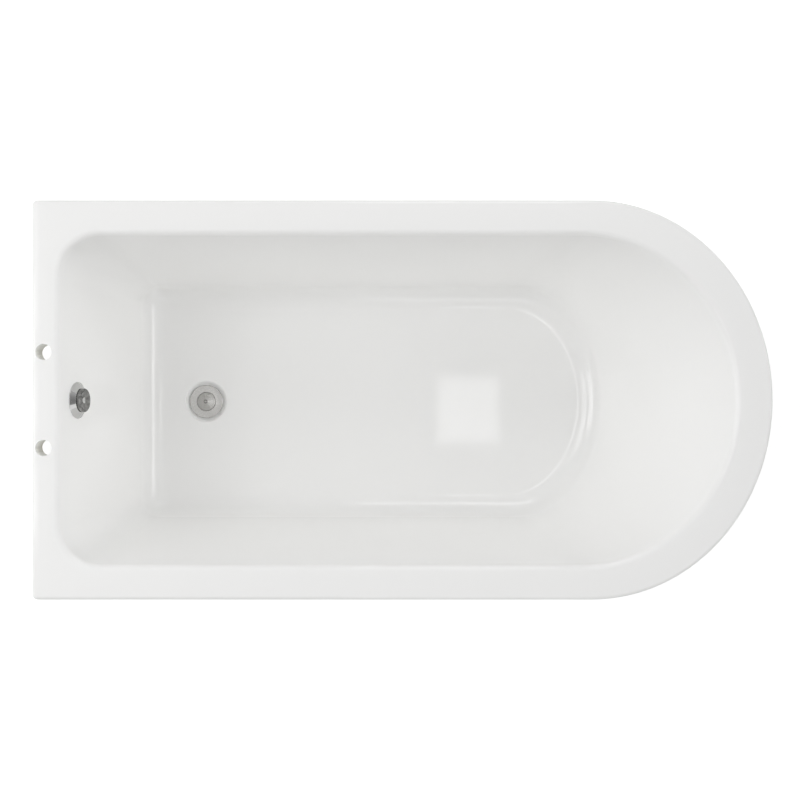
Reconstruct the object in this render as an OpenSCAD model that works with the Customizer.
/* [Rim] */
// Overall length over the rim, from the tap end to the round end
bath_l = 1390; // [1250:5:1700]
// Overall width over the rim
bath_w = 750; // [700:5:850]
// Height of the rim above the floor of the room
rim_h = 560; // [540:5:620]
// Length of the half ellipse that ends the outline
round_len = 339; // [300:1:400]
// Radius of the two outer corners at the tap end
corner_r = 10; // [9:1:20]
// Thickness of the formed acrylic sheet
sheet_t = 4; // [3:0.5:5]
// Height of the lip that turns down around the rim
lip_h = 40; // [30:1:50]
// Radius of the rounded outer edge of the rim
edge_r = 8; // [6:0.5:9]
// Flat width of the rim at the tap end
tap_rim_w = 40; // [38:1:60]
// Flat width of the rim along the sides
side_rim_w = 54; // [50:1:70]
// Flat width of the rim at the round end
round_rim_w = 60; // [50:1:80]
// Radius of the roll from the rim down into the well
roll_r = 12; // [10:0.5:16]

/* [Well] */
// Depth of the well below the rim
well_depth = 400; // [360:5:410]
// Distance from the tap end of the rim to the flat of the floor
floor_tap_in = 170; // [155:1:185]
// Width of the flat of the floor
floor_w = 410; // [380:2:460]
// Distance from the round end of the rim to the flat of the floor
floor_round_in = 309; // [275:1:345]
// Length of the half ellipse at the end of the floor
floor_round_len = 163; // [120:1:200]
// Length of the half ellipse at the inner edge of the rim
well_round_len = 296; // [260:1:330]
// Corner radius of the floor at the tap end
floor_corner_r = 12; // [8:1:30]
// Corner radius of the well at the rim
well_corner_r = 85; // [70:1:100]
// Fillet between the floor and the tap end wall
tap_fillet_r = 50; // [40:1:60]
// Fillet between the floor and the side walls
side_fillet_r = 50; // [40:1:60]
// Fillet between the floor and the sloping back rest
round_fillet_r = 60; // [50:1:70]
// Thickness of the glass fibre backing
backing_t = 3; // [2:0.5:4]

/* [Taps] */
// Distance between the two tap holes
tap_spacing = 180; // [160:5:220]
// Radius of each tap hole
tap_hole_r = 15; // [12:0.5:15]
// Distance from the tap end of the rim to the tap hole centres
tap_hole_in = 22; // [21:0.5:24]
// Thickness of the board under the tap deck
deck_board_t = 38; // [30:1:38]

/* [Frame and feet] */
// Thickness of the base board
board_t = 18; // [12:1:22]
// How far the base board stays inside the flat of the floor
board_inset = 15; // [8:1:25]
// Distance from the waste to the near edge of the base board
board_waste_gap = 98; // [90:1:120]
// Height and width of the rim battens
batten_w = 36; // [30:1:38]
// Length of each foot channel
channel_l = 600; // [580:5:620]
// Width of the foot channel
channel_w = 40; // [36:1:50]
// Height of the foot channel
channel_h = 30; // [26:1:34]
// Wall of the foot channel
channel_t = 2.5; // [2:0.5:4]
// Distance from the near edge of the base board to the channel at the tap end
channel_tap_in = 80; // [60:5:120]
// Distance from the round end of the base board to the other channel
channel_round_in = 111; // [90:1:150]
// Distance between the two feet on one channel
foot_spacing = 550; // [540:2:560]
// Radius of the threaded foot rod
rod_r = 6; // [5:0.5:6.5]
// Length of the foot rod above the top of its channel
rod_over = 40; // [37:1:45]
// Radius of the foot pad
pad_r = 27; // [22:1:32]
// Height of the foot pad
pad_h = 22; // [18:1:30]

/* [Panel] */
// How far the face of the panel stands inside the rim
panel_inset = 6; // [5.5:0.5:8]
// Thickness of the panel sheet
panel_t = 3; // [2:0.5:4]
// Height of the lower edge of the panel
panel_foot = 5; // [5:1:12]
// How far the panel tucks up behind the lip
panel_tuck = 18; // [10:1:25]
// Width of the folded flange at the lower edge
panel_flange = 18; // [14:1:24]

/* [Waste] */
// Distance of the waste from the tap end of the rim
waste_in = 257; // [240:1:265]
// Depth of the recess around the waste
recess_d = 8; // [6:0.5:9]
// Radius of the recess at the floor
recess_r = 46; // [44:0.5:50]
// Radius of the chrome waste flange
flange_r = 37; // [35:0.5:38]
// Radius of the plug at its upper edge
plug_r = 20.5; // [20:0.1:21]
// Height of the cone on the plug
cone_h = 13; // [8:0.5:16]
// Length of the lever finger that lifts the plug
finger_l = 22; // [20:0.5:23]
// Half of the angle through which the lever turns
lever_half_angle = 17; // [12:0.5:17]
// Outer radius of the waste body
body_r = 33; // [32.5:0.5:36]
// Outer radius of the trap cup
trap_r = 48; // [44:1:52]
// Radius of the waste pipe
pipe_r = 20; // [18:0.5:21]

/* [Overflow] */
// Depth of the overflow centre below the rim
overflow_drop = 75; // [72:1:90]
// Radius of the flared rose at the wall
rose_r = 35.5; // [33:0.5:38]
// How far the rose stands out from the wall
rose_h = 9; // [7:0.5:12]
// Radius of the turning knob
knob_r = 23; // [20:0.5:25]
// Height of the knob above the rose
knob_h = 6.6; // [5:0.2:9]
// Outer radius of the overflow hose
hose_r = 16; // [14:0.5:17]
// Number of ribs on the overflow hose
hose_ribs = 60; // [30:1:70]
// Radius of the cable sheath
cable_r = 2.5; // [2:0.25:3]

/* [Hidden] */

// Steps around each small corner and around each half ellipse
corner_steps = 8;
ellipse_steps = 40;
// Angles at which the fillets, the roll and the outer edge are sampled
fillet_angles = [0 : 12.5 : 75];
roll_angles = [83, 60, 40, 20, 0];
edge_angles = [0 : 22.5 : 90];
// Amount that a cut runs past a face
over = 1;
// Clearance of a piece that is seated in another
seat_gap = 0.1;
// Radial clearance of a shaft or thread that turns
run_gap = 0.05;
// Clearance between bodies that pass each other
pass_gap = 0.3;
$fn = 48;

half_l = bath_l / 2;
half_w = bath_w / 2;
floor_z = rim_h - well_depth;
round_x = half_l - round_len;
// Each wall of the well runs from a foot on the floor to a top at the rim
tap_foot = half_l - floor_tap_in;
tap_top = half_l - tap_rim_w;
side_foot = floor_w / 2;
side_top = half_w - side_rim_w;
round_foot = half_l - floor_round_in;
round_top = half_l - round_rim_w;
floor_round_x = round_foot - floor_round_len;
well_round_x = round_top - well_round_len;
skin_t = sheet_t + backing_t;

// Height of the parts below the floor of the well
board_z = floor_z - skin_t - board_t;
channel_z = board_z - channel_h;
web_z = board_z - channel_t;
rod_top = board_z + rod_over;
waste_x = -half_l + waste_in;
board_x = waste_x + board_waste_gap;
board_end = round_foot - board_inset;
board_half_w = side_foot - board_inset;
tap_channel_x = board_x + channel_tap_in;
round_channel_x = board_end - channel_round_in;
channel_places = [tap_channel_x, round_channel_x];

// Recess in the floor around the waste
recess_slope = 6;
recess_foot_r = recess_r - recess_slope;
recess_z = floor_z - recess_d;
boss_r = recess_r + sheet_t;
boss_z = recess_z - sheet_t;
waste_hole_r = 27;

// Overflow hole in the tap end wall
overflow_z = rim_h - overflow_drop;
overflow_tilt = wall_angle(tap_foot, tap_top, tap_fillet_r);
overflow_x = -wall_pos(well_depth - overflow_drop, 0, tap_foot, tap_top, tap_fillet_r);
overflow_hole_r = 22;

// Screws, nuts and rods
screw_r = 2.5;
screw_l = 16;
screw_head_r = 5;
screw_head_h = 3;
screw_places = [-150, -60, 60, 150];
nut_flats = 19;
nut_h = 10;
rod_foot = 8;
rod_chamfer = 1.5;
pad_edge = 5;
pad_shoulder_h = 11;
pad_shoulder = 8;
pad_neck = 6;
pad_chamfer = 1;

// Battens and boards under the rim
batten_gap = panel_inset + panel_t;
batten_out = half_w - batten_gap;
batten_z = rim_h - sheet_t - batten_w;
deck_board_l = tap_rim_w - sheet_t;
deck_board_gap = 2;
deck_bevel = edge_r - sheet_t + seat_gap;
deck_board_w = 2 * (batten_out - deck_board_gap);
batten_start = -half_l + sheet_t + deck_board_l;
round_batten_w = 34;
round_batten_h = 18;

// Wall brackets
bracket_w = 36;
bracket_t = 2;
bracket_h = 48;
bracket_leg = 36;
wall_hole_r = 3.5;
back_bracket_x = 300;
back_bracket_shift = 120;
tap_bracket_y = 250;

// Panel and its floor clips
panel_end_gap = 8;
panel_return = 30;
clip_w = 40;
clip_l = 50;
clip_t = 4;
clip_gap = 1;
clip_hook = 8;
clip_hole_in = 4;
clip_start = 135;
clip_pitch = 360;
clip_places = [for (i = [0 : 2]) -half_l + clip_start + i * clip_pitch];
clip_angles = [-48, 0, 48];

// Waste: heights from the recess down to the trap
gasket_t = 1.5;
flange_t = 2.5;
flange_bevel = 1.5;
plug_gap = 0.6;
plug_edge = 0.8;
plug_foot = 5;
cone_tip_r = 2;
seal_w = 4;
seal_h = 1.4;
stem_chamfer = 0.5;
flange_z = recess_z + gasket_t;
flange_top = flange_z + flange_t;
seat_r = plug_r - 1;
seat_h = 1.5;
sleeve_r = 26;
sleeve_t = 2.5;
sleeve_l = 36;
sleeve_foot = flange_z - sleeve_l;
under_gasket_t = 3;
body_top = boss_z - under_gasket_t;
body_flange_t = 4;
body_flange_r = 42;
body_wall = 4;
body_room = 24;
body_foot = sleeve_foot - body_room;
outlet_r = 21;
outlet_t = 2.5;
outlet_l = 33;
outlet_foot = body_foot - outlet_l;
stem_r = 4;
hub_z = sleeve_foot + 6;
spoke_w = 3;
spoke_bite = 2;
hub_r = 8;
hub_h = 5;
shaft_r = 3;
tip_r = 3;
shaft_drop = 6;
shaft_z = sleeve_foot - shaft_drop;
stem_foot = shaft_z - finger_l * sin(lever_half_angle) + tip_r + pass_gap;
finger_w = 4;
finger_t = 4;
crank_w = 5;
crank_l = 14;
crank_t = 3;
cover_stand = 2;
cover_y = body_r + cover_stand;
cover_l = 36;
cover_d = 16;
cover_over = 8;
cover_wall = 2;
crank_gap = 1;
crank_y = cover_y + cover_wall + crank_gap;
inlet_r = 14;
inlet_t = 2.5;
inlet_drop = 4;
inlet_z = shaft_z - inlet_drop;
inlet_l = 25;
inlet_end = waste_x - body_r - inlet_l;

// Trap
trap_t = 3;
trap_h = 44;
socket_r = 25;
socket_l = 16;
outlet_bite = 11.5;
socket_top = outlet_foot + outlet_bite;
trap_roof = socket_top - socket_l;
trap_foot = trap_roof - trap_h;
trap_nut_r = 30;
trap_nut_h = 11;
trap_nut_lip = 4;
nut_lip_in = 3;
trap_outlet_up = 25;
trap_outlet_z = trap_foot + trap_outlet_up;
trap_outlet_r = 23.5;
trap_outlet_l = 24;
trap_outlet_end = trap_r + trap_outlet_l;
outlet_nut_r = 29;
outlet_nut_l = 18;
pipe_wall = 2.5;
pipe_bead_h = 2;
pipe_bead_r = pipe_r + pipe_bead_h;
pipe_bead_l = 4;
pipe_end = 345;
cap_r = 17;
neck_l = 8;
cap_wall = 4;
cap_gap = 2;

// Overflow: distances along the wall normal, negative outside the well
rose_t = 1.2;
rose_neck = 1.5;
clamp_r = 25.5;
clamp_t = 2.5;
clamp_hub = 4;
nipple_r = 20;
nipple_t = 2.5;
back_gasket_t = 3;
back_face = -skin_t - back_gasket_t;
barrel_flange_t = 4;
barrel_flange_r = 32;
barrel_r = 27;
barrel_l = 34;
barrel_end = back_face - barrel_l;
barrel_wall = 3.5;
spindle_r = 4;
pulley_r = 13;
pulley_t = 5;
groove_d = 1.5;
groove_edge = 1;
nozzle_in = 19;
nozzle_u = back_face - nozzle_in;
nozzle_end = 50;
knob_foot = rose_h + pass_gap;
dish_d = 3;
cap_disc_r = 6;
cap_disc_h = 1.2;
knob_bevel = 1;
knob_lip = 1.6;
spindle_bite = 2;
rose_foot_w = 4;
rose_step = 3;
slot_w = 30;
slot_h = 4.5;
slot_foot = 0.8;

// Hose and cable, both in planes of constant y
hose_bore = 12.5;
hose_dip = 2.2;
hose_bend = 75;
hose_nut_r = 19.5;
hose_nut_l = 16;
hose_grip = 8;
hose_plain = 4;
cable_in = 4;
cable_y = cover_y + cover_wall + cable_in;
cable_drop = 5;
cable_u = nozzle_u - cable_drop;
cable_start = 14;
cable_bend = 62;
cable_z = shaft_z - crank_l;
cable_end = waste_x + finger_l - cover_l / 2;
cable_steps = 30;
cable_boss_w = 10;
cable_boss_y = barrel_r - 9;
cable_clip_places = [130, 250];
cable_clip_l = 8;
cable_clip_t = 1.6;
tube_sides = 8;

white = "white";
steel = "lightsteelblue";
timber = "burlywood";
chrome = "silver";
plastic = "gainsboro";
rubber = [0.15, 0.15, 0.16];

// Slope of a wall that touches the fillet circle and the roll circle
function wall_angle(foot, top, fillet) =
    let(dx = top - foot, dz = well_depth - roll_r - fillet)
    acos((fillet + roll_r) / norm([dx, dz])) - atan2(dz, dx);

// Distance of a wall from the middle at height z above the floor, off outside the inner face
function wall_pos(z, off, foot, top, fillet) =
    let(a = wall_angle(foot, top, fillet),
        big = fillet + off,
        small = roll_r - off,
        low = fillet - big * sin(a),
        high = well_depth - roll_r + small * sin(a))
    z <= low ? foot + sqrt(max(0, big * big - (fillet - z) * (fillet - z)))
    : z >= high ? top - sqrt(max(0, small * small - pow(z - well_depth + roll_r, 2)))
    : foot + big * cos(a) + (z - low) * tan(a);

// Closed outline with two corners at the tap end and a half ellipse at the round end
function outline(tap, mid, reach, half, corner) = concat(
    [for (i = [0 : corner_steps]) let(t = 180 + 90 * i / corner_steps)
        [-tap + corner + corner * cos(t), -half + corner + corner * sin(t)]],
    [for (i = [0 : ellipse_steps]) let(t = -90 + 180 * i / ellipse_steps)
        [mid + (reach - mid) * cos(t), half * sin(t)]],
    [for (i = [0 : corner_steps]) let(t = 90 + 90 * i / corner_steps)
        [-tap + corner + corner * cos(t), half - corner + corner * sin(t)]]);

// Outline of the rim, moved in from its outer edge
function rim_outline(inset) =
    outline(half_l - inset, round_x, half_l - inset, half_w - inset, max(corner_r - inset, 1));

// Outline of the well at height z above its floor, off outside the inner face
function well_outline(z, off) =
    let(tap = wall_pos(z, off, tap_foot, tap_top, tap_fillet_r),
        side = wall_pos(z, off, side_foot, side_top, side_fillet_r),
        reach = wall_pos(z, off, round_foot, round_top, round_fillet_r),
        f_round = (reach - round_foot) / (round_top - round_foot),
        f_side = (side - side_foot) / (side_top - side_foot))
    outline(tap, floor_round_x + (well_round_x - floor_round_x) * f_round, reach, side,
        floor_corner_r + (well_corner_r - floor_corner_r) * f_side + off);

function lifted(points, z) = [for (p = points) [p[0], p[1], z]];

// Rings of the well surface from the floor up to the rim, off outside the inner face
function well_rings(off) = concat(
    [for (t = fillet_angles) let(z = round_fillet_r - (round_fillet_r + off) * cos(t))
        lifted(well_outline(z, off), floor_z + z)],
    [for (t = roll_angles) let(z = well_depth - roll_r + (roll_r - off) * cos(t))
        lifted(well_outline(z, off), floor_z + z)]);

function reversed(list) = [for (i = [len(list) - 1 : -1 : 0]) list[i]];

// Solid through a list of rings with the same number of points, closed by flat ends.
// Each strip is split along the same diagonal upwards and downwards, so solids that share rings fit face to face.
module ring_solid(rings) {
    n = len(rings[0]);
    points = [for (ring = rings) for (p = ring) p];
    sides = [for (k = [0 : len(rings) - 2]) for (i = [0 : n - 1])
        let(a = k * n + i, b = k * n + (i + 1) % n)
        each rings[k][0][2] <= rings[k + 1][0][2]
            ? [[a, b + n, a + n], [a, b, b + n]]
            : [[a, b, a + n], [b, b + n, a + n]]];
    first = [for (i = [n - 1 : -1 : 0]) i];
    last = [for (i = [0 : n - 1]) (len(rings) - 1) * n + i];
    polyhedron(points, concat([first], sides, [last]), convexity = 10);
}

// Tap holes through the deck
module tap_holes() {
    for (side = [-1, 1]) {
        translate([-half_l + tap_hole_in, side * tap_spacing / 2, rim_h - sheet_t - deck_board_t - over])
            cylinder(r = tap_hole_r, h = sheet_t + deck_board_t + 2 * over);
    }
}

// Overflow frame: local z is the wall normal into the well and local x points down
module at_overflow() {
    translate([overflow_x, 0, overflow_z]) rotate([0, 90 - overflow_tilt, 0]) children();
}

rim_rings = concat(
    [for (t = edge_angles) lifted(rim_outline(edge_r * (1 - sin(t))), rim_h - edge_r * (1 - cos(t)))],
    [lifted(rim_outline(0), rim_h - lip_h)],
    [lifted(rim_outline(sheet_t), rim_h - lip_h)],
    [lifted(rim_outline(sheet_t), rim_h - edge_r)],
    [lifted(rim_outline(edge_r), rim_h - sheet_t)]);

// Formed acrylic sheet: well, rim, lip and waste recess
module bath_shell() {
    color(white)
    difference() {
        union() {
            ring_solid(concat(well_rings(0), rim_rings, reversed(well_rings(sheet_t))));
            translate([waste_x, 0, boss_z])
                cylinder(r = boss_r, h = floor_z - boss_z - sheet_t / 2);
        }
        tap_holes();
        at_overflow() translate([0, 0, -skin_t - over])
            cylinder(r = overflow_hole_r, h = skin_t + 2 * over);
        translate([waste_x, 0, recess_z])
            cylinder(r1 = recess_foot_r, r2 = recess_r + (recess_r - recess_foot_r) * over / recess_d,
                h = recess_d + over);
        translate([waste_x, 0, boss_z - over]) cylinder(r = waste_hole_r, h = sheet_t + 2 * over);
    }
}

// Glass fibre laid up on the outside of the well, open around the waste and the overflow
module glass_fibre_backing() {
    color("wheat")
    difference() {
        ring_solid(concat(well_rings(sheet_t), reversed(well_rings(skin_t))));
        at_overflow() translate([0, 0, -skin_t - over])
            cylinder(r = overflow_hole_r, h = skin_t + 2 * over);
        translate([waste_x, 0, floor_z - skin_t - over])
            cylinder(r = boss_r + seat_gap, h = backing_t + 2 * over);
    }
}

// Board under the flat of the floor, clear of the waste
module base_board() {
    color(timber)
    difference() {
        translate([0, 0, board_z]) linear_extrude(board_t) polygon(concat(
            [[board_x, -board_half_w]],
            [for (i = [0 : ellipse_steps]) let(t = -90 + 180 * i / ellipse_steps)
                [floor_round_x + (board_end - floor_round_x) * cos(t), board_half_w * sin(t)]],
            [[board_x, board_half_w]]));
        for (x = channel_places) {
            at_channel_screws(x) cylinder(r = screw_r + seat_gap, h = screw_l - channel_t + seat_gap);
        }
    }
}

// Board under the tap deck, bevelled where the rim is rounded
module tap_deck_board() {
    color(timber)
    difference() {
        translate([-half_l + sheet_t, deck_board_w / 2, rim_h - sheet_t - deck_board_t])
            rotate([90, 0, 0]) linear_extrude(deck_board_w)
            polygon([[0, 0], [deck_board_l, 0], [deck_board_l, deck_board_t], [deck_bevel, deck_board_t],
                [0, deck_board_t - deck_bevel]]);
        tap_holes();
        bracket_screw_holes();
    }
}

// Straight batten under a side of the rim, side 1 at the back and -1 at the front
module rim_batten(side) {
    color(timber)
    difference() {
        translate([batten_start, side > 0 ? batten_out - batten_w : -batten_out, batten_z])
            cube([round_x - batten_start, batten_w, batten_w]);
        bracket_screw_holes();
    }
}

// Curved batten under the rim of the round end, shaped as half an elliptical ring
module rim_batten_round() {
    color(timber)
    translate([0, 0, rim_h - sheet_t - round_batten_h]) linear_extrude(round_batten_h)
        half_ring(batten_gap, batten_gap + round_batten_w);
}

// Half elliptical ring between two distances inside the outer edge of the rim
module half_ring(out, inner) {
    arc = [for (i = [0 : ellipse_steps]) -90 + 180 * i / ellipse_steps];
    polygon(concat(
        [for (t = arc) [round_x + (round_len - out) * cos(t), (half_w - out) * sin(t)]],
        [for (t = reversed(arc)) [round_x + (round_len - inner) * cos(t), (half_w - inner) * sin(t)]]));
}

// Places of the four screws that hold one channel to the base board
module at_channel_screws(x) {
    for (y = screw_places) {
        translate([x, y, board_z]) children();
    }
}

// Folded channel, open below, with holes for the rods and the screws
module foot_channel(x) {
    color(steel)
    difference() {
        translate([x - channel_w / 2, -channel_l / 2, channel_z]) cube([channel_w, channel_l, channel_h]);
        translate([x - channel_w / 2 + channel_t, -channel_l / 2 - over, channel_z - over])
            cube([channel_w - 2 * channel_t, channel_l + 2 * over, channel_h - channel_t + over]);
        for (side = [-1, 1]) {
            translate([x, side * foot_spacing / 2, web_z - over])
                cylinder(r = rod_r + 2 * pass_gap, h = channel_t + 2 * over);
        }
        translate([0, 0, -channel_t - over])
            at_channel_screws(x) cylinder(r = screw_r + seat_gap, h = channel_t + 2 * over);
    }
}

// Pan head screw that stands on its head, shank up, with its head below z = 0
module screw(length) {
    cylinder(r = screw_r, h = length);
    translate([0, 0, -screw_head_h]) cylinder(r = screw_head_r, h = screw_head_h);
}

module channel_screws() {
    color("gray")
    for (x = channel_places) {
        translate([0, 0, -channel_t]) at_channel_screws(x) screw(screw_l);
    }
}

// Hexagon nut with a true bore
module nut(bore, flats, height) {
    difference() {
        cylinder(r = flats / 2 / cos(30), h = height, $fn = 6);
        translate([0, 0, -over]) cylinder(r = bore, h = height + 2 * over);
    }
}

// A nut above and a nut below the web of the channel at each rod
module rod_nuts() {
    color("silver")
    for (x = channel_places) for (side = [-1, 1]) {
        translate([x, side * foot_spacing / 2, board_z]) nut(rod_r + run_gap, nut_flats, nut_h);
        translate([x, side * foot_spacing / 2, web_z - nut_h]) nut(rod_r + run_gap, nut_flats, nut_h);
    }
}

// Threaded rod of one foot
module foot_rod(x, side) {
    color("silver")
    translate([x, side * foot_spacing / 2, rod_foot]) {
        cylinder(r = rod_r, h = rod_top - rod_foot - rod_chamfer);
        translate([0, 0, rod_top - rod_foot - rod_chamfer])
            cylinder(r1 = rod_r, r2 = rod_r - rod_chamfer, h = rod_chamfer);
    }
}

// Plastic pad with a socket for the rod
module foot_pad(x, side) {
    color("dimgray")
    translate([x, side * foot_spacing / 2, 0]) rotate_extrude()
        polygon([[0, 0], [pad_r - pad_chamfer, 0], [pad_r, pad_chamfer], [pad_r, pad_edge],
            [rod_r + pad_shoulder, pad_shoulder_h], [rod_r + pad_neck, pad_h],
            [rod_r + seat_gap, pad_h], [rod_r + seat_gap, rod_foot], [0, rod_foot]]);
}

// Places of the wall brackets: two along the back and two at the tap end
module at_brackets() {
    for (x = [-back_bracket_x, back_bracket_x]) {
        translate([x - back_bracket_shift, half_w, batten_z]) children();
    }
    for (y = [-tap_bracket_y, tap_bracket_y]) {
        translate([-half_l, y, rim_h - sheet_t - deck_board_t]) rotate(90) children();
    }
}

// Steel angle under the rim: one leg on the batten, one leg flat against the wall
module wall_brackets() {
    color(steel)
    at_brackets() difference() {
        union() {
            translate([-bracket_w / 2, -bracket_t, -bracket_h]) cube([bracket_w, bracket_t, bracket_h]);
            translate([-bracket_w / 2, -bracket_leg, -bracket_t]) cube([bracket_w, bracket_leg, bracket_t]);
        }
        translate([0, over, -bracket_h / 2 - bracket_t]) rotate([90, 0, 0])
            cylinder(r = wall_hole_r, h = bracket_t + 2 * over);
        translate([0, -bracket_leg / 2 - bracket_t, -bracket_t - over])
            cylinder(r = screw_r + seat_gap, h = bracket_t + 2 * over);
    }
}

module bracket_screws() {
    color("gray")
    at_brackets() translate([0, -bracket_leg / 2 - bracket_t, -bracket_t]) screw(screw_l);
}

// Holes in the battens and the deck board for the bracket screws
module bracket_screw_holes() {
    at_brackets() translate([0, -bracket_leg / 2 - bracket_t, -over])
        cylinder(r = screw_r + seat_gap, h = screw_l + over);
}

// Path of the panel between two distances inside the rim: front side, round end, short way back
module panel_strip(out, inner) {
    arc = [for (i = [0 : ellipse_steps]) -90 + 180 * i / ellipse_steps];
    polygon(concat(
        [[-half_l + panel_end_gap, -(half_w - out)]],
        [for (t = arc) [round_x + (round_len - out) * cos(t), (half_w - out) * sin(t)]],
        [[round_x - panel_return, half_w - out], [round_x - panel_return, half_w - inner]],
        [for (t = reversed(arc)) [round_x + (round_len - inner) * cos(t), (half_w - inner) * sin(t)]],
        [[-half_l + panel_end_gap, -(half_w - inner)]]));
}

// White sheet that wraps the front side and the round end
module wrap_panel() {
    color(white) {
        translate([0, 0, panel_foot]) linear_extrude(rim_h - lip_h + panel_tuck - panel_foot)
            panel_strip(panel_inset, panel_inset + panel_t);
        translate([0, 0, panel_foot]) linear_extrude(panel_t)
            panel_strip(panel_inset + panel_t / 2, panel_inset + panel_flange);
    }
}

// Places along the foot of the panel, local y pointing into the bath
module at_clips() {
    for (x = clip_places) {
        translate([x, -(half_w - panel_inset), 0]) children();
    }
    for (t = clip_angles) {
        translate([round_x + (round_len - panel_inset) * cos(t), (half_w - panel_inset) * sin(t), 0])
            rotate(90 + atan2((round_len - panel_inset) * sin(t), (half_w - panel_inset) * cos(t)))
            children();
    }
}

// Plastic clip that stands on the floor and holds the folded flange of the panel
module panel_floor_clips() {
    color(plastic)
    at_clips() difference() {
        union() {
            translate([-clip_w / 2, panel_t + clip_gap, 0]) cube([clip_w, clip_l, panel_foot]);
            translate([-clip_w / 2, panel_flange + clip_gap, 0])
                cube([clip_w, clip_t, panel_foot + panel_t + clip_t]);
            translate([-clip_w / 2, panel_flange - clip_hook, panel_foot + panel_t + seat_gap])
                cube([clip_w, clip_hook + clip_gap + clip_t, clip_t]);
        }
        translate([0, clip_l - clip_hole_in, -over]) cylinder(r = wall_hole_r, h = panel_foot + 2 * over);
    }
}

// Rubber ring under the chrome flange
module flange_gasket() {
    color(rubber)
    translate([waste_x, 0, recess_z]) ring(flange_r - 1, waste_hole_r, gasket_t);
}

// Flat ring with an outer radius, a bore and a height
module ring(outer, bore, height) {
    difference() {
        cylinder(r = outer, h = height);
        translate([0, 0, -over]) cylinder(r = bore, h = height + 2 * over);
    }
}

// Chrome flange with its threaded sleeve, conical seat and the hub that guides the plug
module waste_flange() {
    color(chrome)
    translate([waste_x, 0, 0]) {
        rotate_extrude() polygon([
            [plug_r + plug_gap, flange_top], [flange_r - flange_bevel, flange_top],
            [flange_r, flange_top - flange_bevel / 2], [flange_r, flange_z], [sleeve_r, flange_z],
            [sleeve_r, sleeve_foot], [sleeve_r - sleeve_t, sleeve_foot],
            [sleeve_r - sleeve_t, flange_z - seat_h - 1], [seat_r, flange_z - seat_h], [seat_r, flange_z]]);
        difference() {
            union() {
                translate([0, 0, hub_z]) cylinder(r = hub_r, h = hub_h);
                for (t = [30, 150, 270]) {
                    rotate(t) translate([stem_r + spoke_bite, -spoke_w / 2, hub_z])
                        cube([sleeve_r - stem_r - spoke_bite - sleeve_t / 2, spoke_w, hub_h]);
                }
            }
            translate([0, 0, hub_z - over]) cylinder(r = stem_r + run_gap, h = hub_h + 2 * over);
        }
    }
}

// Plug with a cone on top, a groove for its seal and a stem down to the lever
module waste_plug() {
    color(chrome)
    translate([waste_x, 0, 0]) rotate_extrude() polygon([
        [0, stem_foot], [stem_r - stem_chamfer, stem_foot], [stem_r, stem_foot + stem_chamfer],
        [stem_r, flange_z - plug_foot], [seat_r - seal_w, flange_z - seal_h], [seat_r - seal_w, flange_z],
        [seat_r - pass_gap, flange_z + pass_gap], [plug_r, flange_top],
        [plug_r - plug_edge, flange_top + plug_edge],
        [cone_tip_r, flange_top + cone_h - plug_edge], [0, flange_top + cone_h]]);
}

// Rubber ring in the groove of the plug
module plug_seal() {
    color(rubber)
    translate([waste_x, 0, flange_z - seal_h]) 
        ring(seat_r - pass_gap, seat_r - seal_w + seat_gap, seal_h);
}

// Rubber ring between the underside of the recess and the waste body
module waste_gasket() {
    color(rubber)
    translate([waste_x, 0, body_top]) ring(body_flange_r, waste_hole_r, under_gasket_t);
}

// Lever shaft frame, local z along the shaft towards the cover
module at_lever() {
    translate([waste_x + finger_l, 0, shaft_z]) rotate([-90, 0, 0]) children();
}

// Plastic body with a collar for the sleeve, an inlet for the hose and an outlet to the trap
module waste_body() {
    color(plastic)
    difference() {
        union() {
            translate([waste_x, 0, body_top - body_flange_t]) cylinder(r = body_flange_r, h = body_flange_t);
            translate([waste_x, 0, body_foot]) cylinder(r = body_r, h = body_top - body_foot);
            translate([waste_x, 0, outlet_foot]) cylinder(r = outlet_r, h = body_foot - outlet_foot + over);
            translate([inlet_end, 0, inlet_z]) rotate([0, 90, 0])
                cylinder(r = inlet_r, h = waste_x - inlet_end);
            at_lever() cylinder(r = shaft_r + body_wall, h = cover_y);
        }
        translate([waste_x, 0, sleeve_foot - over])
            cylinder(r = sleeve_r + seat_gap, h = body_top - sleeve_foot + 2 * over);
        translate([waste_x, 0, body_foot + body_wall])
            cylinder(r = body_r - body_wall, h = sleeve_foot - body_foot - body_wall);
        translate([waste_x, 0, outlet_foot - over])
            cylinder(r = outlet_r - outlet_t, h = body_foot - outlet_foot + body_wall + 2 * over);
        translate([inlet_end - over, 0, inlet_z]) rotate([0, 90, 0])
            cylinder(r = inlet_r - inlet_t, h = waste_x - inlet_end);
        at_lever() translate([0, 0, -over]) cylinder(r = shaft_r + run_gap, h = cover_y + 2 * over);
    }
}

// Lever inside the body: shaft, finger under the stem and crank for the cable, all one casting
module lift_lever() {
    color("darkgray")
    at_lever() {
        translate([0, 0, -finger_w]) cylinder(r = shaft_r, h = crank_y + crank_t + finger_w);
        rotate(-lever_half_angle) {
            translate([-finger_l, 0, -finger_w]) cylinder(r = tip_r, h = 2 * finger_w);
            translate([-finger_l, -finger_t / 2, -finger_w]) cube([finger_l, finger_t, 2 * finger_w]);
            translate([-crank_w / 2, 0, crank_y]) cube([crank_w, crank_l, crank_t]);
            translate([0, crank_l, crank_y]) cylinder(r = shaft_r, h = 2 * crank_t);
        }
    }
}

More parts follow.
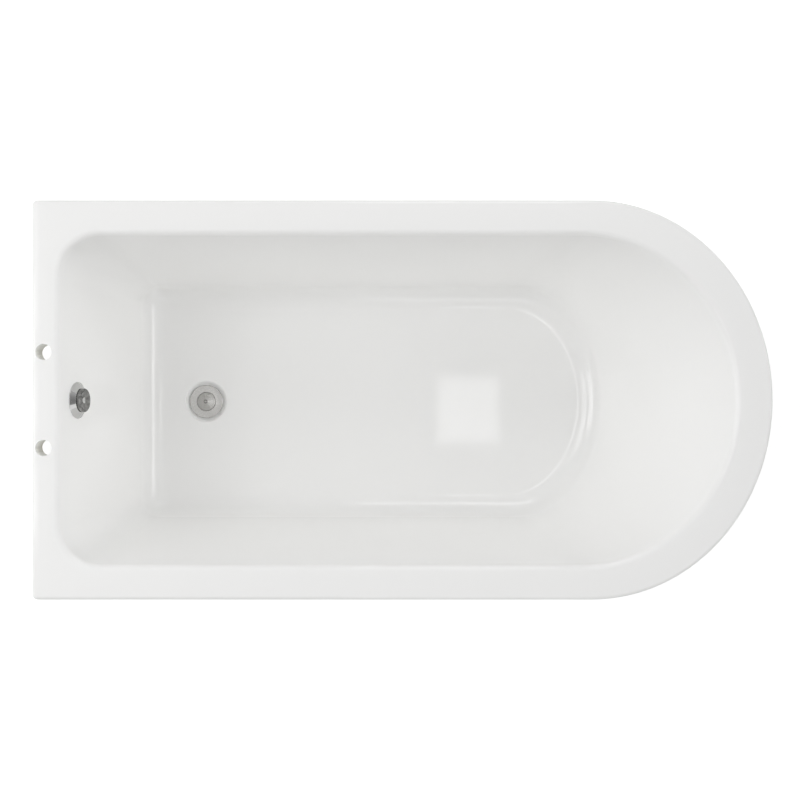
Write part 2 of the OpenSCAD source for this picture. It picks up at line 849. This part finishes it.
// Cover around the crank, seated on the end of the shaft boss
module lever_cover() {
    cover_h = crank_l + 2 * cover_over;
    color(plastic)
    difference() {
        translate([waste_x + finger_l - cover_l / 2, cover_y, shaft_z - crank_l - cover_over])
        difference() {
            cube([cover_l, cover_d, cover_h]);
            translate([cover_wall, cover_wall, cover_wall])
                cube([cover_l - 2 * cover_wall, cover_d - 2 * cover_wall, cover_h - 2 * cover_wall]);
        }
        at_lever() translate([0, 0, cover_y - over])
            cylinder(r = shaft_r + pass_gap, h = cover_wall + 2 * over);
    }
}

// Coupling ring with flats on its outside
module coupling_ring(outer, bore, length) {
    flats = 12;
    difference() {
        cylinder(r = outer, h = length, $fn = flats);
        translate([0, 0, -over]) cylinder(r = bore, h = length + 2 * over);
    }
}

module trap_inlet_nut() {
    color(plastic)
    translate([waste_x, 0, socket_top - trap_nut_h]) {
        coupling_ring(trap_nut_r, socket_r + seat_gap, trap_nut_h);
        translate([0, 0, trap_nut_h]) ring(trap_nut_r - nut_lip_in, outlet_r + seat_gap, trap_nut_lip);
    }
}

// Low trap: cup with a dip from the body, an outlet towards the back and a cleaning neck
module trap_body() {
    color(plastic)
    difference() {
        union() {
            translate([waste_x, 0, trap_foot]) cylinder(r = trap_r, h = trap_roof - trap_foot);
            translate([waste_x, 0, trap_roof - over])
                cylinder(r = socket_r, h = socket_top - trap_roof + over);
            translate([waste_x, 0, trap_outlet_z]) rotate([-90, 0, 0])
                cylinder(r = trap_outlet_r, h = trap_outlet_end);
            translate([waste_x, 0, trap_outlet_z]) rotate([90, 0, 0])
                cylinder(r = cap_r, h = trap_r + neck_l);
        }
        translate([waste_x, 0, trap_foot + trap_t])
            cylinder(r = trap_r - trap_t, h = trap_roof - trap_foot - 2 * trap_t);
        translate([waste_x, 0, trap_roof - trap_t - over])
            cylinder(r = outlet_r + seat_gap, h = socket_top - trap_roof + trap_t + 2 * over);
        translate([waste_x, trap_r - 2 * trap_t, trap_outlet_z]) rotate([-90, 0, 0])
            cylinder(r = pipe_r + seat_gap, h = trap_outlet_end - trap_r + 2 * trap_t + over);
        translate([waste_x, -trap_r + 2 * trap_t, trap_outlet_z]) rotate([90, 0, 0])
            cylinder(r = cap_r - trap_t, h = trap_r);
    }
}

// Screwed cap on the cleaning neck
module trap_cleaning_cap() {
    color(plastic)
    translate([waste_x, -trap_r - cap_gap, trap_outlet_z]) rotate([90, 0, 0]) {
        coupling_ring(cap_r + cap_wall, cap_r + seat_gap, neck_l - cap_gap);
        translate([0, 0, neck_l - cap_gap]) cylinder(r = cap_r + cap_wall - nut_lip_in / 2, h = trap_t);
    }
}

module trap_outlet_nut() {
    color(plastic)
    translate([waste_x, trap_outlet_end - outlet_nut_l, trap_outlet_z]) rotate([-90, 0, 0]) {
        coupling_ring(outlet_nut_r, trap_outlet_r + seat_gap, outlet_nut_l);
        translate([0, 0, outlet_nut_l]) ring(outlet_nut_r - nut_lip_in, pipe_r + seat_gap, trap_nut_lip);
    }
}

// Stub of waste pipe to the wall side, with a stop bead outside the nut
module waste_pipe() {
    color(plastic)
    translate([waste_x, trap_r, trap_outlet_z]) rotate([-90, 0, 0]) {
        ring(pipe_r, pipe_r - pipe_wall, pipe_end - trap_r);
        translate([0, 0, trap_outlet_end + 2 * trap_nut_lip - trap_r])
            ring(pipe_bead_r, pipe_r - pipe_wall, pipe_bead_l);
    }
}

// Point of the hollow flare of the rose, moved in by off
function rose_curve(t, off) = [
    knob_r + rose_neck + (rose_r - knob_r - rose_neck) * (1 - sin(t)) - off,
    rose_h - (rose_h - rose_t) * cos(t) - off];

// Chrome rose that flares from the knob to the wall, with a slot below for the water
module overflow_rose() {
    color(chrome)
    at_overflow() difference() {
        rotate_extrude() polygon(concat(
            [[rose_r - rose_foot_w, 0], [rose_r, 0], [rose_r, rose_t]],
            [for (t = [15 : 15 : 75]) rose_curve(t, 0)],
            [[knob_r + rose_neck, rose_h], [knob_r - rose_step, rose_h]],
            [[knob_r - rose_step, rose_h - rose_t], [knob_r, rose_h - rose_t]],
            [for (t = [75 : -15 : 30]) rose_curve(t, rose_t * 0.75)]));
        translate([knob_r, -slot_w / 2, slot_foot]) cube([rose_r, slot_w, slot_h]);
    }
}

// Plastic ring inside the well that clamps the body through the overflow hole
module overflow_clamp_ring() {
    color(plastic)
    at_overflow() {
        rotate_extrude() polygon([[nipple_r - nipple_t, back_face - barrel_flange_t],
            [nipple_r, back_face - barrel_flange_t], [nipple_r, 0], [clamp_r, 0], [clamp_r, clamp_t],
            [nipple_r - nipple_t, clamp_t]]);
        difference() {
            union() {
                cylinder(r = spindle_r + clamp_hub, h = clamp_t);
                for (t = [60, 180, 300]) {
                    rotate(t) translate([spindle_r + spoke_bite, -spoke_w / 2, 0])
                        cube([nipple_r - spindle_r - spoke_bite - nipple_t / 2, spoke_w, clamp_t]);
                }
            }
            translate([0, 0, -over]) cylinder(r = spindle_r + run_gap, h = clamp_t + 2 * over);
        }
    }
}

// Rubber ring between the backing and the overflow body
module overflow_gasket() {
    color(rubber)
    at_overflow() translate([0, 0, back_face]) ring(barrel_flange_r, overflow_hole_r, back_gasket_t);
}

// Plastic body behind the tap end wall, with a nozzle for the hose and a boss for the cable
module overflow_body() {
    color(plastic)
    at_overflow() difference() {
        union() {
            translate([0, 0, back_face - barrel_flange_t]) cylinder(r = barrel_flange_r, h = barrel_flange_t);
            translate([0, 0, barrel_end]) cylinder(r = barrel_r, h = back_face - barrel_end);
            translate([0, 0, nozzle_u]) rotate([0, 90, 0]) cylinder(r = inlet_r, h = nozzle_end);
            translate([0, cable_boss_y, cable_u - cable_boss_w / 2])
                cube([cable_start, cable_y + cable_boss_w / 2 - cable_boss_y, cable_boss_w]);
        }
        translate([0, 0, back_face - barrel_flange_t - over])
            cylinder(r = nipple_r + seat_gap, h = barrel_flange_t + 2 * over);
        translate([0, 0, barrel_end + barrel_wall])
            cylinder(r = barrel_r - barrel_wall, h = barrel_l - barrel_wall - barrel_flange_t + over);
        translate([0, 0, nozzle_u]) rotate([0, 90, 0])
            cylinder(r = inlet_r - inlet_t, h = nozzle_end + over);
        translate([0, 0, barrel_end - over]) cylinder(r = spindle_r + run_gap, h = barrel_wall + 2 * over);
    }
}

// Turning knob with a dished face
module overflow_knob() {
    color(chrome)
    at_overflow() translate([0, 0, knob_foot]) difference() {
        rotate_extrude() polygon(concat(
            [[0, 0], [knob_r - knob_bevel, 0], [knob_r, knob_bevel]],
            [for (t = [0 : 30 : 90]) [knob_r - knob_lip * (1 - cos(t)), knob_h - knob_lip * (1 - sin(t))]],
            [for (f = [0.25 : 0.25 : 1]) [knob_r - knob_lip - (knob_r - knob_lip - cap_disc_r) * f,
                knob_h - dish_d * (1 - cos(180 * f)) / 2]],
            [[0, knob_h - dish_d]]));
        translate([0, 0, -over]) cylinder(r = spindle_r + seat_gap, h = over + spindle_bite + seat_gap);
    }
}

// Small cap in the middle of the knob
module knob_cap() {
    color(chrome)
    at_overflow() translate([0, 0, knob_foot + knob_h - dish_d]) rotate_extrude()
        polygon([[0, 0], [cap_disc_r, 0], [cap_disc_r, cap_disc_h], [cap_disc_r / 2, cap_disc_h * 1.75],
            [0, cap_disc_h * 2]]);
}

// Spindle from the knob through the clamp ring to the back of the body
module overflow_spindle() {
    color("darkgray")
    at_overflow() translate([0, 0, barrel_end])
        cylinder(r = spindle_r, h = knob_foot + spindle_bite - barrel_end);
}

// Pulley that winds the inner wire
module cable_pulley() {
    color("dimgray")
    at_overflow() translate([0, 0, barrel_end + barrel_wall + 2 * pass_gap]) rotate_extrude()
        polygon([[spindle_r + seat_gap, 0], [pulley_r, 0], [pulley_r, groove_edge],
            [pulley_r - groove_d, pulley_t / 2], [pulley_r, pulley_t - groove_edge], [pulley_r, pulley_t],
            [spindle_r + seat_gap, pulley_t]]);
}

// Point of the overflow frame in the plane of the section, from u along the normal and s down
function overflow_point(u, s) = [
    overflow_x + u * cos(overflow_tilt) + s * sin(overflow_tilt),
    overflow_z + u * sin(overflow_tilt) - s * cos(overflow_tilt)];

// Route that leaves along the wall and bends into a horizontal run at height z, as [x, z, direction]
function bent_route(start, z, bend, end_x, steps) =
    let(down = -90 + overflow_tilt,
        run = (start[1] - z) / cos(overflow_tilt),
        corner = start[0] + run * sin(overflow_tilt),
        cut = bend * tan((90 - overflow_tilt) / 2),
        straight = run - cut,
        arc = bend * (90 - overflow_tilt) * PI / 180,
        tail = end_x - corner - cut,
        total = straight + arc + tail)
    [for (i = [0 : steps]) let(s = total * i / steps)
        s < straight ? [start[0] + s * cos(down), start[1] + s * sin(down), down]
        : s < straight + arc ? let(t = down + (s - straight) / bend * 180 / PI)
            [corner + cut + bend * sin(t), z + bend - bend * cos(t), t]
        : [corner + cut + s - straight - arc, z, 0]];

// Ring of a tube around one station of a route that lies in the plane y
function tube_ring(station, y, r) = [for (i = [0 : tube_sides - 1]) let(t = 360 * i / tube_sides)
    [station[0] - r * cos(t) * sin(station[2]), y + r * sin(t), station[1] + r * cos(t) * cos(station[2])]];

// Ribbed hose with its bore, from the overflow body to the waste body
module overflow_hose() {
    start = overflow_point(nozzle_u, nozzle_end);
    steps = 2 * (hose_ribs + hose_plain);
    route = bent_route(start, inlet_z, hose_bend, inlet_end, steps);
    outer = [for (i = [0 : steps]) tube_ring(route[i], 0,
        i < hose_plain || i > steps - hose_plain || i % 2 == 1 ? hose_r - hose_dip : hose_r)];
    bore = [for (i = [steps : -4 : 0]) tube_ring(route[i], 0, hose_bore)];
    color("whitesmoke") tube_loop(concat(outer, bore));
}

// Closed tube wall through rings: out along the outside, back along the bore
module tube_loop(rings) {
    n = tube_sides;
    points = [for (ring = rings) for (p = ring) p];
    polyhedron(points, [for (k = [0 : len(rings) - 1]) for (i = [0 : n - 1])
        let(here = k * n, next = (k + 1) % len(rings) * n, j = (i + 1) % n)
        each [[here + i, here + j, next + j], [here + i, next + j, next + i]]], convexity = 10);
}

// Nuts that hold the two ends of the hose
module hose_nuts() {
    color("dimgray") {
        at_overflow() translate([nozzle_end - hose_nut_l + hose_grip, 0, nozzle_u]) rotate([0, 90, 0])
            coupling_ring(hose_nut_r, inlet_r + seat_gap, hose_nut_l);
        translate([inlet_end - hose_grip, 0, inlet_z]) rotate([0, 90, 0])
            coupling_ring(hose_nut_r, inlet_r + seat_gap, hose_nut_l);
    }
}

// Cable sheath from the boss on the overflow body to the lever cover
module bowden_cable() {
    start = overflow_point(cable_u, cable_start);
    route = bent_route(start, cable_z, cable_bend, cable_end, cable_steps);
    color(rubber) ring_solid([for (i = [0 : cable_steps]) tube_ring(route[i], cable_y, cable_r)]);
}

// Clips that hold the cable to the hose
module cable_clips() {
    color("dimgray")
    at_overflow() for (s = cable_clip_places) {
        translate([s, 0, nozzle_u]) rotate([0, 90, 0]) {
            ring(hose_r + cable_clip_t, hose_r + seat_gap, cable_clip_l);
            translate([nozzle_u - cable_u, cable_y, 0])
                ring(cable_r + cable_clip_t, cable_r + seat_gap, cable_clip_l);
            difference() {
                translate([nozzle_u - cable_u - cable_clip_t / 2, 0, 0])
                    cube([cable_clip_t, cable_y, cable_clip_l]);
                translate([0, 0, -over]) cylinder(r = hose_r + cable_clip_t / 2, h = cable_clip_l + 2 * over);
                translate([nozzle_u - cable_u, cable_y, -over])
                    cylinder(r = cable_r + cable_clip_t / 2, h = cable_clip_l + 2 * over);
            }
        }
    }
}

bath_shell();
glass_fibre_backing();
base_board();
tap_deck_board();
rim_batten(-1);  // rim_batten_front
rim_batten(1);  // rim_batten_back
rim_batten_round();
foot_channel(tap_channel_x);  // foot_channel_tap
foot_channel(round_channel_x);  // foot_channel_round
channel_screws();
rod_nuts();
foot_rod(tap_channel_x, -1);  // foot_rod_tap_front
foot_rod(tap_channel_x, 1);  // foot_rod_tap_back
foot_rod(round_channel_x, -1);  // foot_rod_round_front
foot_rod(round_channel_x, 1);  // foot_rod_round_back
foot_pad(tap_channel_x, -1);  // foot_pad_tap_front
foot_pad(tap_channel_x, 1);  // foot_pad_tap_back
foot_pad(round_channel_x, -1);  // foot_pad_round_front
foot_pad(round_channel_x, 1);  // foot_pad_round_back
wall_brackets();
bracket_screws();
wrap_panel();
panel_floor_clips();
waste_flange();
flange_gasket();
waste_gasket();
waste_body();
lift_lever();
lever_cover();
waste_plug();
plug_seal();
trap_inlet_nut();
trap_body();
trap_cleaning_cap();
trap_outlet_nut();
waste_pipe();
overflow_rose();
overflow_clamp_ring();
overflow_gasket();
overflow_body();
overflow_knob();
knob_cap();
overflow_spindle();
cable_pulley();
overflow_hose();
hose_nuts();
bowden_cable();
cable_clips();
